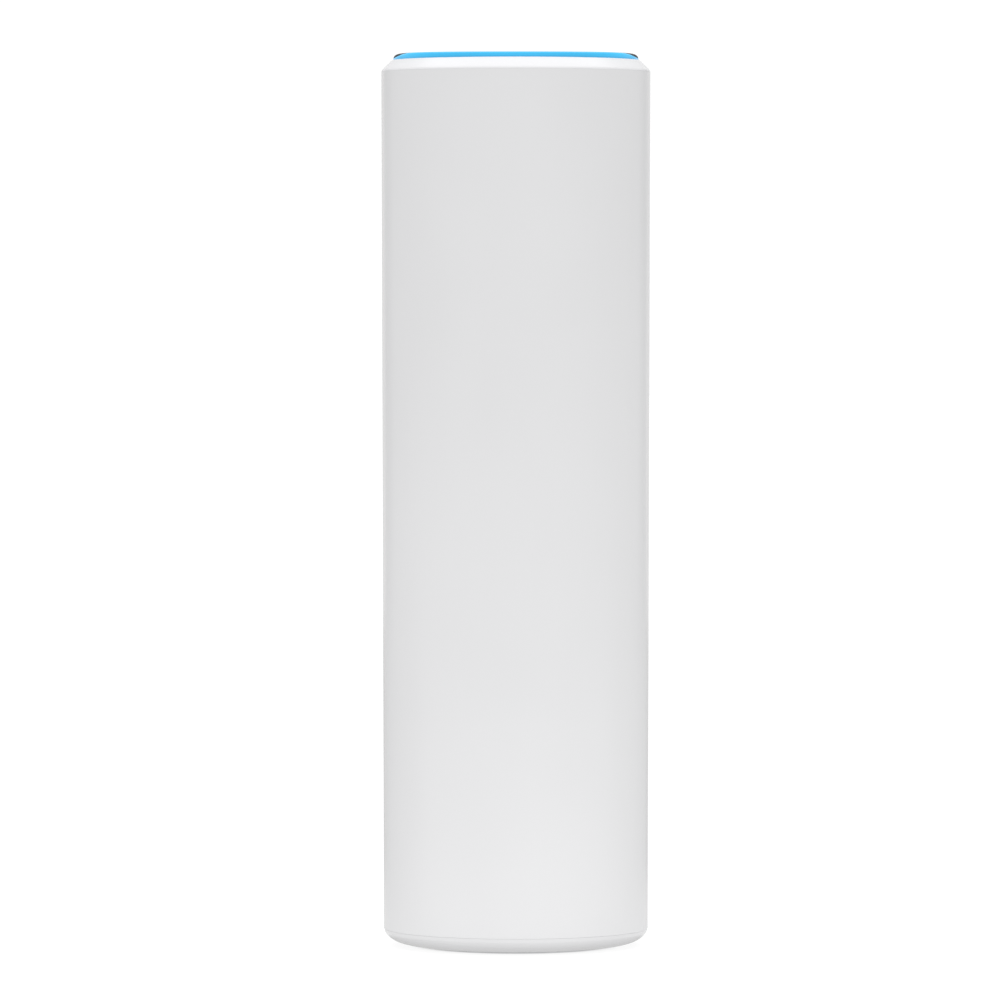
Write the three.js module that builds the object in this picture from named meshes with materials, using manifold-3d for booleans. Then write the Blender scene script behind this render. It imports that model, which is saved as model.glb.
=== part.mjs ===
// Mesh Wi-Fi node: a slim upright cylinder, built as the separate pieces it comes apart into on a bench.
// Millimetres, +Z up. Origin: centre of the rubber foot ring on the surface the node stands on. Front is -Y.
//
// From the outside in: a drafted white sleeve closed by a shouldered top bezel and a twist-off base cap; a lit ring and
// a plain disc on top; inside, a frame with the main board and its heat sink, an antenna carrier above it, a small LED
// board under the lit ring, and an Ethernet jack that faces down into a deep cable well in the base, which opens below
// and through a notch at the back.
import * as THREE from "three";
import { mergeVertices } from "three/addons/utils/BufferGeometryUtils.js";
import Module from "manifold-3d";

const wasm = await Module();
wasm.setup();

// ---------------------------------------------------------------- driving dimensions
const SEG = 32; // facets round a full turn
const HEIGHT = 160.25; // foot to highest rim, the ears of the light shield
const R_TOP = 24.15; // outer radius of the sleeve at its top edge
const DRAFT = 0.00272; // moulding draft: radius lost per millimetre towards the base
const WALL = 1.8; // sleeve wall
const Z_SLEEVE_TOP = 156.93;
const Z_SLEEVE_BOTTOM = 3.28;
const SEAM = 0.25; // visible gap between sleeve and base cap
const CAP_FLAT = 0.3; // underside of the base cap: the foot ring stands this far proud
const CORNER_A = 6.0; // how far the base corner runs in
const CORNER = [[0.22, 2.45], [0.62, 1.97], [1.2, 1.47], [2.12, 1.03], [3.4, 0.65], [4.7, 0.42]]; // base corner: in from the sleeve, height
const FRONT_RIM = 160.0; // height of the lit rim at front and back
const RIM_RISE = 0.13; // how much higher it is where it meets the dips at the sides
const RIM_DIP = 0.62; // depth of the dips, which the ears of the shield fill
const DIP_HALF = 31; // half-width of each dip, in degrees
const WELL_R = 12.4; // cable well, at the base cap
const FOOT_IN = 13.75, FOOT_OUT = 17.05;
const TWIST_LUG = 24; // degrees of arc of each bayonet lug
const TWIST_RANGE = 30; // degrees from locked to free
const PRESS = 0.6; // reset button travel
const Z_BULKHEAD = 22.0; // roof of the cable well
const BOARD = { half: 17.2, y0: 6.5, y1: 8.1, z0: 24.4, z1: 109.5 };
const JACK = { half: 7.9, y0: -6.8, y1: 6.4, z0: 22.2, z1: 43.1 };
const NOTCH_HALF = 3.8, NOTCH_TOP = 2.7; // way out for a flat cable, at the back of the cap
const SCREWS_AT = [50, 130, 270], SCREW_R = 17.9; // frame screws
const sleeveR = (z) => R_TOP - DRAFT * (Z_SLEEVE_TOP - z);

// ---------------------------------------------------------------- materials
const mat = (name, color, roughness, metalness = 0, extra = {}) =>
  Object.assign(new THREE.MeshStandardMaterial({ color, roughness, metalness, ...extra }), { name });
const M = {
  shell: mat("shell_white", 0xe4e5e7, 0.38),
  bezel: mat("bezel_white", 0xf4f5f7, 0.3),
  light: mat("light_blue", 0x4cc8fb, 0.2, 0, { emissive: 0x2a9fe0 }),
  black: mat("black_plastic", 0x16191c, 0.35),
  frame: mat("frame_grey", 0x6d7277, 0.6),
  rubber: mat("foot_rubber", 0xdcddde, 0.8),
  seal: mat("seal_black", 0x1d1f21, 0.8),
  board: mat("board_green", 0x1c5a3a, 0.45),
  ledboard: mat("board_white", 0xdfe3e2, 0.5),
  chip: mat("chip_black", 0x202326, 0.5),
  pad: mat("thermal_pad", 0x7f9dbb, 0.9),
  alu: mat("aluminium", 0xc3c7ca, 0.42, 0.9),
  can: mat("tinned_steel", 0xd0d2d0, 0.32, 0.9),
  steel: mat("screw_steel", 0xa9adb0, 0.35, 1),
  gold: mat("contact_gold", 0xd9b25a, 0.3, 1),
  copper: mat("antenna_copper", 0xc98b5c, 0.35, 1),
  cable: mat("cable_grey", 0x4a4d50, 0.6),
  ribbon: mat("ribbon_white", 0xe9e6dc, 0.55),
  ferrite: mat("ferrite", 0x3a3c3f, 0.7),
  led: mat("led_body", 0xf2efe2, 0.4),
};

// ---------------------------------------------------------------- helpers
// A closed three.js geometry as a manifold solid, facing out.
function solid(geometry) {
  const flat = geometry.index ? geometry.toNonIndexed() : geometry;
  const bare = new THREE.BufferGeometry().setAttribute("position", flat.getAttribute("position"));
  const merged = mergeVertices(bare, 1e-4);
  const index = merged.index.array;
  const triVerts = [];
  for (let i = 0; i < index.length; i += 3) {
    const [a, b, c] = [index[i], index[i + 1], index[i + 2]];
    if (a !== b && b !== c && a !== c) triVerts.push(a, b, c);
  }
  return new wasm.Manifold(
    new wasm.Mesh({ numProp: 3, vertProperties: merged.attributes.position.array, triVerts: new Uint32Array(triVerts) }),
  );
}
// A manifold solid back as a three.js geometry.
function geometryOf(s) {
  const m = s.getMesh();
  return new THREE.BufferGeometry()
    .setAttribute("position", new THREE.BufferAttribute(new Float32Array(m.vertProperties), 3))
    .setIndex(new THREE.BufferAttribute(new Uint32Array(m.triVerts), 1));
}
const join = (...s) => s.reduce((a, b) => a.add(b));
const cut = (a, ...s) => s.reduce((x, b) => x.subtract(b), a);
// A profile of [radius, height] pairs turned about Z; profiles run anticlockwise seen with radius to the right.
function turned(points, segments = SEG) {
  let area = 0;
  points.forEach(([x0, y0], i) => {
    const [x1, y1] = points[(i + 1) % points.length];
    area += x0 * y1 - x1 * y0;
  });
  const ring = area > 0 ? [...points] : [...points].reverse();
  ring.push(ring[0]);
  const g = new THREE.LatheGeometry(ring.map(([x, y]) => new THREE.Vector2(x, y)), segments).rotateX(Math.PI / 2);
  let s = solid(g);
  if (s.volume() < 0) {
    const back = new THREE.LatheGeometry([...ring].reverse().map(([x, y]) => new THREE.Vector2(x, y)), segments);
    s = solid(back.rotateX(Math.PI / 2));
  }
  return s;
}
const box = (x0, x1, y0, y1, z0, z1) =>
  solid(new THREE.BoxGeometry(x1 - x0, y1 - y0, z1 - z0).translate((x0 + x1) / 2, (y0 + y1) / 2, (z0 + z1) / 2));
const rodZ = (r, z0, z1, x = 0, y = 0, n = 16) =>
  solid(new THREE.CylinderGeometry(r, r, z1 - z0, n).rotateX(Math.PI / 2).translate(x, y, (z0 + z1) / 2));
const rodY = (r, y0, y1, x = 0, z = 0, n = 16) =>
  solid(new THREE.CylinderGeometry(r, r, y1 - y0, n).translate(x, (y0 + y1) / 2, z));
const rodX = (r, x0, x1, y = 0, z = 0, n = 12, turn = 0) =>
  solid(new THREE.CylinderGeometry(r, r, x1 - x0, n).rotateZ(-Math.PI / 2).translate((x0 + x1) / 2, y, z).rotateZ(turn));
// A flat outline in X and Y, raised from z0 to z1.
const raised = (points, z0, z1) =>
  solid(new THREE.ExtrudeGeometry(new THREE.Shape(points.map(([x, y]) => new THREE.Vector2(x, y))), { depth: z1 - z0, bevelEnabled: false }).translate(0, 0, z0));
// A flat outline in Y and Z, drawn out along X.
const drawnX = (points, x0, x1) =>
  solid(
    new THREE.ExtrudeGeometry(new THREE.Shape(points.map(([y, z]) => new THREE.Vector2(y, z))), { depth: x1 - x0, bevelEnabled: false })
      .applyMatrix4(new THREE.Matrix4().makeBasis(new THREE.Vector3(0, 1, 0), new THREE.Vector3(0, 0, 1), new THREE.Vector3(1, 0, 0)))
      .translate(x0, 0, 0),
  );
const polar = (r, degrees) => [r * Math.cos((degrees * Math.PI) / 180), r * Math.sin((degrees * Math.PI) / 180)];
// A block bounded by two radii and two angles.
function sector(r0, r1, a0, a1, z0, z1, steps = 4) {
  const points = [];
  for (let i = 0; i <= steps; i++) points.push(polar(r1, a0 + ((a1 - a0) * i) / steps));
  for (let i = steps; i >= 0; i--) points.push(polar(r0, a0 + ((a1 - a0) * i) / steps));
  return raised(points, z0, z1);
}
// Height of the lit rim at an angle about Z: a gentle rise from front and back, and a dip centred on each side.
function rimHeight(angle) {
  const a = (Math.asin(Math.min(1, Math.abs(Math.sin(angle)))) * 180) / Math.PI; // 0 at a side, 90 at front and back
  const rise = (RIM_RISE * (1 - Math.cos((Math.PI * Math.min(90 - a, 62)) / 62))) / 2;
  const dip = a < DIP_HALF ? RIM_DIP * Math.cos((Math.PI / 2) * (a / DIP_HALF)) ** 2 : 0;
  return FRONT_RIM + rise - dip;
}
// A turned piece with three times the facets, which still lie on the sides of the coarser outline, so that a height can
// follow the angle: lift(radius, height, angle) gives each corner's new height.
function wavy(points, lift) {
  const g = new THREE.LatheGeometry([...points, points[0]].map(([x, y]) => new THREE.Vector2(x, y)), SEG * 3).rotateX(Math.PI / 2);
  const p = g.getAttribute("position"), step = (2 * Math.PI) / SEG;
  for (let k = 0; k < p.count; k++) {
    const [x, y, z] = [p.getX(k), p.getY(k), p.getZ(k)];
    const angle = Math.atan2(y, x), r = Math.hypot(x, y);
    const within = ((angle % step) + step) % step;
    const flat = within < 1e-4 || step - within < 1e-4 ? 1 : Math.cos(step / 2) / Math.cos(within - step / 2);
    p.setXYZ(k, x * flat, y * flat, lift(r, z, angle));
  }
  const s = solid(g);
  if (s.volume() >= 0) return s;
  g.setIndex([...g.index.array].reverse());
  return solid(g);
}
// A piece swept about Z through part of a turn, with a profile that changes: profileAt(degrees) gives [radius, height] pairs.
function arc(profileAt, a0, a1, steps) {
  const n = profileAt(a0).length, at = [], index = [];
  for (let i = 0; i <= steps; i++) {
    const a = a0 + ((a1 - a0) * i) / steps;
    for (const [r, z] of profileAt(a)) at.push(...polar(r, a), z);
  }
  for (let i = 0; i < steps; i++) {
    for (let j = 0; j < n; j++) {
      const p = i * n + j, q = i * n + ((j + 1) % n);
      index.push(p, q + n, q, p, p + n, q + n);
    }
  }
  for (const [end, turn] of [[a0, 1], [a1, -1]]) {
    const from = turn > 0 ? 0 : steps * n;
    for (const [a, b, c] of THREE.ShapeUtils.triangulateShape(profileAt(end).map(([r, z]) => new THREE.Vector2(r, z)), [])) {
      index.push(...(turn > 0 ? [from + a, from + b, from + c] : [from + a, from + c, from + b]));
    }
  }
  return solid(new THREE.BufferGeometry().setAttribute("position", new THREE.BufferAttribute(new Float32Array(at), 3)).setIndex(index));
}
const root = new THREE.Group();
root.name = "mesh_node";
const groups = {};
function group(name, z = 0, parent = root) {
  const g = new THREE.Group();
  g.name = name;
  g.position.z = z;
  parent.add(g);
  groups[name] = g;
  return g;
}
// Adds a named piece: its solid is given in the part's frame, and the mesh is placed in its group.
function piece(name, s, material, parent) {
  const g = geometryOf(s);
  let z = 0;
  for (let p = parent; p && p !== root; p = p.parent) z += p.position.z;
  g.translate(0, 0, -z);
  g.computeVertexNormals();
  const m = new THREE.Mesh(g, material);
  m.name = name;
  parent.add(m);
  return m;
}

const housing = group("housing");
const top = group("top_assembly", 150);
const base = group("base_assembly");
const chassis = group("chassis", 24);
const radio = group("antenna_assembly", 112);

// ---------------------------------------------------------------- sleeve
// One long moulding, drafted towards the base, with a small round at each end and two snap grooves inside.
{
  const o = sleeveR, i = (z) => sleeveR(z) - WALL;
  const z0 = Z_SLEEVE_BOTTOM, z1 = Z_SLEEVE_TOP;
  piece("outer_sleeve", turned([
    [i(z0) + 0.3, z0], [o(z0) - 0.3, z0], [o(z0) - 0.09, z0 + 0.09], [o(z0), z0 + 0.3],
    [o(z1), z1 - 0.35], [o(z1) - 0.1, z1 - 0.1], [o(z1) - 0.35, z1],
    [i(z1), z1], [i(152.7), 152.7], [22.7, 152.6], [22.7, 151.3], [i(151.2), 151.2],
    [i(13.4), 13.4], [22.35, 13.3], [22.35, 11.7], [i(11.6), 11.6], [i(z0), z0 + 0.3],
  ]), M.shell, housing);
}

// ---------------------------------------------------------------- top: bezel, seal, lit ring, shield, disc
{
  // The convex 45 degree shoulder, the ledge the lit ring sits on, and the spigot that snaps into the sleeve.
  piece("top_bezel", turned([
    [20.4, 150.6], [22.0, 150.6], [22.0, 151.4], [22.45, 151.75], [22.45, 152.15], [22.0, 152.5],
    [22.0, 153.8], [21.2, 153.8], [21.2, 155.0], [22.0, 155.0], [22.0, 157.08],
    [23.95, 157.08], [24.1, 157.2], [23.98, 157.42], [23.68, 157.75], [22.97, 158.43],
    [22.32, 159.05], [22.2, 159.1], [22.12, 159.03], [22.12, 158.14], [20.9, 158.14], [20.9, 156.0], [20.4, 156.0],
  ]), M.bezel, top);
  piece("top_seal", solid(new THREE.TorusGeometry(21.72, 0.48, 6, SEG).translate(0, 0, 154.4)), M.seal, top);

  // Lit ring: a leg over the LEDs and a rounded rim. The rim dips at both sides, where the shield shows past it.
  const ringTop = FRONT_RIM + RIM_RISE, shoulder = 159.25;
  piece("light_ring", wavy([
    [19.5, 156.7], [20.7, 156.7], [20.7, 158.19], [22.02, 158.19], [22.02, shoulder], [22.01, 159.7],
    [21.9, 159.93], [21.72, 160.07], [21.52, ringTop], [21.38, ringTop - 0.01], [21.34, ringTop - 0.07], [21.24, 159.82],
    [20.6, 159.82], [20.6, 158.94], [19.5, 158.94],
  ], (r, z, a) => (r > 21.3 && z > shoulder ? shoulder + ((z - shoulder) * (rimHeight(a) - shoulder)) / (ringTop - shoulder) : z)), M.light, top);

  // Black shield: keeps the light in the ring and carries the top disc. Two ears key it into the dips of the lit ring.
  const lip = turned([
    [19.05, 159.04], [20.5, 159.04], [20.5, 159.88], [21.12, 159.88], [21.12, 159.98],
    [20.3, 159.98], [20.15, 159.92], [20.15, 159.49], [19.05, 159.49],
  ]);
  // Each mark is a radius, a height and the least height above the lit rim; the crown of an ear is level where the rim dips.
  const marks = [
    [20.7, 159.92], [20.85, 159.92], [20.97, 160.03], [21.18, 160.03, 0.09], [21.36, 160.03, 0.09], [21.46, 0, 0.05], [21.93, 0, 0.05],
    [21.93, 160.02, 0.08], [21.84, 160.16, 0.1], [21.68, HEIGHT], [20.7, HEIGHT],
  ];
  const ear = (a) => marks.map(([r, z, least]) => [r, least ? Math.max(z, rimHeight((a * Math.PI) / 180) + least) : z]);
  const ears = [0, 180].map((a) => arc(ear, a - 30, a + 30, 19));
  piece("light_shield", join(lip, ...ears), M.black, top);
  piece("top_disc", turned([
    [0, 159.49], [17.8, 159.49], [17.8, 156.6], [18.6, 156.6], [18.8, 156.9], [18.8, 158.4],
    [19.2, 158.69], [19.2, 158.89], [18.8, 158.99], [18.8, 159.54], [20.0, 159.54], [20.0, 159.94], [19.85, 160.04],
    [18.5, 160.0], [0, 159.87],
  ]), M.bezel, top);
}

// ---------------------------------------------------------------- LED board
{
  const post = (a) => polar(12, a);
  let board = turned([[9, 154.95], [20.2, 154.95], [20.2, 155.75], [9, 155.75]]);
  for (const a of [60, 240]) board = cut(board, rodZ(1.25, 154, 157, ...post(a), 10));
  piece("led_board", board, M.ledboard, top);
  for (let k = 0; k < 6; k++) {
    const a = (k * Math.PI) / 3 + Math.PI / 6;
    const g = new THREE.Mesh(new THREE.BoxGeometry(1.2, 2.0, 0.7), M.led);
    g.name = `led_${k + 1}`;
    g.position.set(19.5 * Math.cos(a), 19.5 * Math.sin(a), 156.15 - 150);
    g.rotation.z = a;
    top.add(g);
  }
  piece("led_connector", cut(box(-3.6, 3.6, 0.4, 3.6, 152.7, 154.9), box(-2.8, 2.8, 1.3, 2.6, 152, 153.6)), M.ribbon, top);
  // Flat flex cable from the LED board down to the main board.
  const path = new THREE.CatmullRomCurve3([
    new THREE.Vector3(0, 1.95, 153.4), new THREE.Vector3(0, 1.95, 148), new THREE.Vector3(0, 1.2, 135),
    new THREE.Vector3(0, 1.2, 122), new THREE.Vector3(0, 3.6, 114), new THREE.Vector3(0, 5.6, 110.6), new THREE.Vector3(0, 5.65, 108.6),
  ]);
  const pts = path.getPoints(18).map((p) => [p.y, p.z]);
  const normalAt = (k) => {
    const a = pts[Math.max(0, k - 1)], b = pts[Math.min(pts.length - 1, k + 1)];
    const l = Math.hypot(b[0] - a[0], b[1] - a[1]);
    return [-(b[1] - a[1]) / l, (b[0] - a[0]) / l];
  };
  const side = (s) => pts.map(([y, z], k) => [y + normalAt(k)[0] * s, z + normalAt(k)[1] * s]);
  piece("led_ribbon", drawnX([...side(0.14), ...side(-0.14).reverse()], -2.5, 2.5), M.ribbon, radio);
}

// ---------------------------------------------------------------- base plate, seal, twist cap, foot
{
  // Fixed cup: its roof holds the jack, its skirt snaps into the sleeve and carries the bayonet lugs inside.
  const zb = Z_BULKHEAD, h = TWIST_LUG / 2;
  let plate = turned([
    [0, zb], [19.6, zb], [19.6, 5.0], [21.5, 5.0], [21.5, 11.9], [22.1, 12.2], [22.1, 12.6], [21.5, 12.9],
    [21.5, zb - 0.2], [20.7, zb - 0.2], [20.7, zb + 1.0], [21.6, zb + 1.0], [21.6, zb + 2.1], [0, zb + 2.1],
  ]);
  for (const a of [30, 150, 270]) plate = plate.add(sector(18.85, 19.9, a - h, a + h, 5.1, 6.4));
  // Stops at both ends of the twist.
  plate = join(plate, sector(18.85, 19.9, 30 - h - 4, 30 - h - 1.2, 6.9, 8.4, 1), sector(18.85, 19.9, 30 + TWIST_RANGE + h + 1.2, 30 + TWIST_RANGE + h + 4, 6.9, 8.4, 1));
  plate = cut(plate, box(-8.4, 8.4, -7.3, 6.75, zb - 1, zb + 3), rodZ(1.15, zb - 1, zb + 3, 0, 9.9));
  for (const a of SCREWS_AT) plate = cut(plate, rodZ(1.15, zb - 1, zb + 3, ...polar(SCREW_R, a), 12));
  piece("base_plate", plate, M.shell, base);
  piece("base_seal", solid(new THREE.TorusGeometry(21.28, 0.53, 6, SEG).translate(0, 0, zb + 0.4)), M.seal, base);

  // Twist cap: rounded edge, foot groove, cable opening and notch, centring lip and bayonet ring.
  const rs = sleeveR(Z_SLEEVE_BOTTOM), capTop = Z_SLEEVE_BOTTOM - SEAM;
  const edge = [...CORNER].reverse().map(([inward, z]) => [rs - inward, z]);
  let cap = turned([
    [WELL_R + 0.3, CAP_FLAT], [13.6, CAP_FLAT], [13.6, 1.2], [17.2, 1.2], [17.2, CAP_FLAT], [rs - CORNER_A, CAP_FLAT],
    ...edge, [rs - 0.08, capTop - 0.14], [rs - 0.22, capTop],
    [21.5, capTop], [21.5, 4.7], [20.6, 4.7], [20.6, 2.2],
    [18.55, 2.2], [18.55, 8.2], [17.4, 8.2], [17.4, 2.2], [WELL_R, 2.2], [WELL_R, CAP_FLAT + 0.3],
  ]);
  for (const a of [30, 150, 270]) cap = cap.add(sector(18.0, 19.3, a - h, a + h, 6.9, 8.2));
  cap = cut(cap, box(-NOTCH_HALF, NOTCH_HALF, 10, 26, -1, NOTCH_TOP));
  piece("base_cap", cap, M.shell, base);
  const foot = turned([[FOOT_IN + 0.2, 0], [FOOT_OUT - 0.2, 0], [FOOT_OUT, 0.2], [FOOT_OUT, 1.12], [FOOT_IN, 1.12], [FOOT_IN, 0.2]]);
  piece("foot_ring", cut(foot, box(-NOTCH_HALF - 0.4, NOTCH_HALF + 0.4, 10, 20, -1, 3)), M.rubber, base);
}
// Screws that hold the inner frame down on the base plate, heads in the well.
SCREWS_AT.forEach((a, k) => {
  const [x, y] = polar(SCREW_R, a), z = Z_BULKHEAD;
  piece(`base_screw_${k + 1}`, cut(join(rodZ(1.35, z - 1.6, z - 0.1, x, y, 14), rodZ(0.85, z - 0.2, z + 7.5, x, y, 10)), rodZ(0.6, z - 1.7, z - 0.8, x, y, 6)), M.steel, base);
});

// ---------------------------------------------------------------- inner frame
{
  const rail = (s) => {
    const x = (v) => v * s;
    const b = (x0, x1, ...r) => box(Math.min(x(x0), x(x1)), Math.max(x(x0), x(x1)), ...r);
    return cut(b(16.2, 18.9, 4.8, 9.8, 24.2, 111), b(16, 17.4, BOARD.y0 - 0.1, BOARD.y1 + 0.1, 24, 109.8));
  };
  let frame = turned([[15.5, 24.2], [20.8, 24.2], [20.8, 26.1], [15.5, 26.1]]);
  frame = join(frame, rail(1), rail(-1));
  for (const a of SCREWS_AT) frame = frame.add(rodZ(1.9, 24.2, 31, ...polar(SCREW_R, a), 14));
  frame = frame.add(cut(turned([[0, 110], [20.5, 110], [20.5, 112], [0, 112]]), box(-15.2, 15.2, -1.2, 6.35, 109, 113), rodZ(1.4, 109, 113, 0, 16.9, 12), rodZ(1.4, 109, 113, 0, -16.9, 12)));
  frame = cut(frame, box(-17.4, 17.4, BOARD.y0 - 0.1, BOARD.y1 + 0.1, 24, 26.5));
  for (const a of SCREWS_AT) frame = cut(frame, rodZ(0.95, 24, 30, ...polar(SCREW_R, a), 10));
  piece("inner_frame", frame, M.frame, chassis);
}

// ---------------------------------------------------------------- main board and what is soldered to it
const SINK_SCREWS = [[-12.8, 52], [12.8, 52], [0, 104.2]];
{
  let board = box(-BOARD.half, BOARD.half, BOARD.y0, BOARD.y1, BOARD.z0, BOARD.z1);
  for (const [x, z] of SINK_SCREWS) board = cut(board, rodY(1.2, 6, 9, x, z, 14));
  piece("main_board", board, M.board, chassis);

  // Jack housing: plug cavity with the two steps of the latch, mouth down.
  piece("ethernet_jack", cut(
    box(-JACK.half, JACK.half, JACK.y0, JACK.y1, JACK.z0, JACK.z1),
    box(-5.95, 5.95, -2.9, 4.1, 21, 36.1), box(-3.1, 3.1, -4.9, -2.8, 21, 36.1), box(-1.7, 1.7, -6.0, -4.8, 21, 36.1),
  ), M.black, chassis);
  piece("jack_shell", cut(box(-8.2, 8.2, -7.1, 6.4, 22.4, 43.45), box(-7.95, 7.95, -6.85, 7, 21, 43.2)), M.can, chassis);
  // Eight sprung contact wires on their moulded bar.
  let comb = box(-4.3, 4.3, 2.9, 4.0, 34.4, 35.9);
  for (let k = 0; k < 8; k++) {
    const x = -3.57 + k * 1.02;
    comb = comb.add(drawnX([[3.0, 34.7], [2.2, 27.5], [2.55, 26.6], [2.9, 27.5], [3.5, 34.7]], x - 0.22, x + 0.22));
  }
  piece("jack_contacts", comb, M.gold, chassis);

  piece("ethernet_transformer", box(-8, 8, 2.6, 6.4, 45, 55.5), M.chip, chassis);
  piece("power_transformer", join(box(-14, -3, -3.5, 6.4, 60.5, 67.5), box(-12.6, -4.4, -2.6, 6.4, 58, 70)), M.ferrite, chassis);
  piece("inductor", join(box(3, 10, 2.4, 6.4, 66.5, 73.5), box(3.6, 9.4, 2.1, 6.3, 67.1, 72.9)), M.ferrite, chassis);
  piece("capacitor_1", join(rodY(3.15, -1.6, 6.0, 5.2, 61, 20), box(2.1, 8.3, 5.2, 6.4, 57.9, 64.1)), M.alu, chassis);
  piece("capacitor_2", join(rodY(3.15, -1.6, 6.0, 12.3, 61, 20), box(9.2, 15.4, 5.2, 6.4, 57.9, 64.1)), M.alu, chassis);
  const can = (z0, z1) => cut(box(-13, 13, 3.6, 6.4, z0, z1), box(-12.7, 12.7, 3.9, 7, z0 + 0.3, z1 - 0.3));
  piece("shield_can_2g", can(75.5, 85), M.can, chassis);
  piece("shield_can_5g", can(86.5, 102), M.can, chassis);
  piece("soc_chip", box(-7.5, 7.5, 8.2, 9.35, 66, 81), M.chip, chassis);
  piece("radio_chip", box(-6, 6, 8.2, 9.15, 86, 98), M.chip, chassis);
  piece("thermal_pad_soc", box(-7, 7, 9.45, 10.2, 66.5, 80.5), M.pad, chassis);
  piece("thermal_pad_radio", box(-5.5, 5.5, 9.25, 10.2, 86.5, 97.5), M.pad, chassis);
  piece("led_socket", cut(box(-3, 3, 4.9, 6.4, 107, 109.4), box(-2.6, 2.6, 5.4, 5.95, 108.2, 110)), M.ribbon, chassis);
}
// Heat sink: a flat face on the chips and fins that follow the sleeve's round.
{
  const outline = [[-15.5, 10.3], [15.5, 10.3], [15.5, 12.6]];
  for (let k = 8; k >= 0; k--) {
    const x = -14.8 + k * 3.7;
    const tip = (v) => Math.sqrt(20.9 * 20.9 - v * v);
    if (k < 8) outline.push([x + 0.6, 12.6]);
    outline.push([x + 0.6, tip(x + 0.6)], [x - 0.6, tip(x - 0.6)], [x - 0.6, 12.6]);
  }
  outline.push([-15.5, 12.6]);
  const clean = outline.filter(([x, y], k) => k === 0 || Math.hypot(x - outline[k - 1][0], y - outline[k - 1][1]) > 1e-6);
  let sink = raised(clean, 46, 106.5);
  for (const [x, z] of SINK_SCREWS) sink = sink.add(rodY(2.2, 8.2, 10.5, x, z, 14));
  for (const [x, z] of SINK_SCREWS) sink = cut(sink, rodY(1.05, 8, 12.2, x, z, 10));
  piece("heat_sink", sink, M.alu, chassis);
  SINK_SCREWS.forEach(([x, z], k) =>
    piece(`heat_sink_screw_${k + 1}`, cut(join(rodY(1.9, 5.0, 6.4, x, z, 14), rodY(0.9, 6.3, 11.6, x, z, 10)), rodY(0.8, 4.9, 5.7, x, z, 6)), M.steel, chassis));
}

// ---------------------------------------------------------------- reset button and its switch
{
  piece("reset_switch", cut(box(-3, 3, 8.2, 11.8, 27.5, 31.0), rodZ(0.98, 27, 30.1, 0, 9.9, 12)), M.black, chassis);
  piece("switch_plunger", rodZ(0.8, 26.8, 29.3, 0, 9.9, 12), M.rubber, chassis);
  piece("reset_button", turned([[0, 22.45], [0.75, 22.45], [1.0, 22.65], [1.0, 24.2], [1.55, 24.2], [1.55, 25.0], [1.0, 25.0], [1.0, 26.7], [0, 26.7]], 16).translate([0, 9.9, 0]), M.black, chassis);
}

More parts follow.
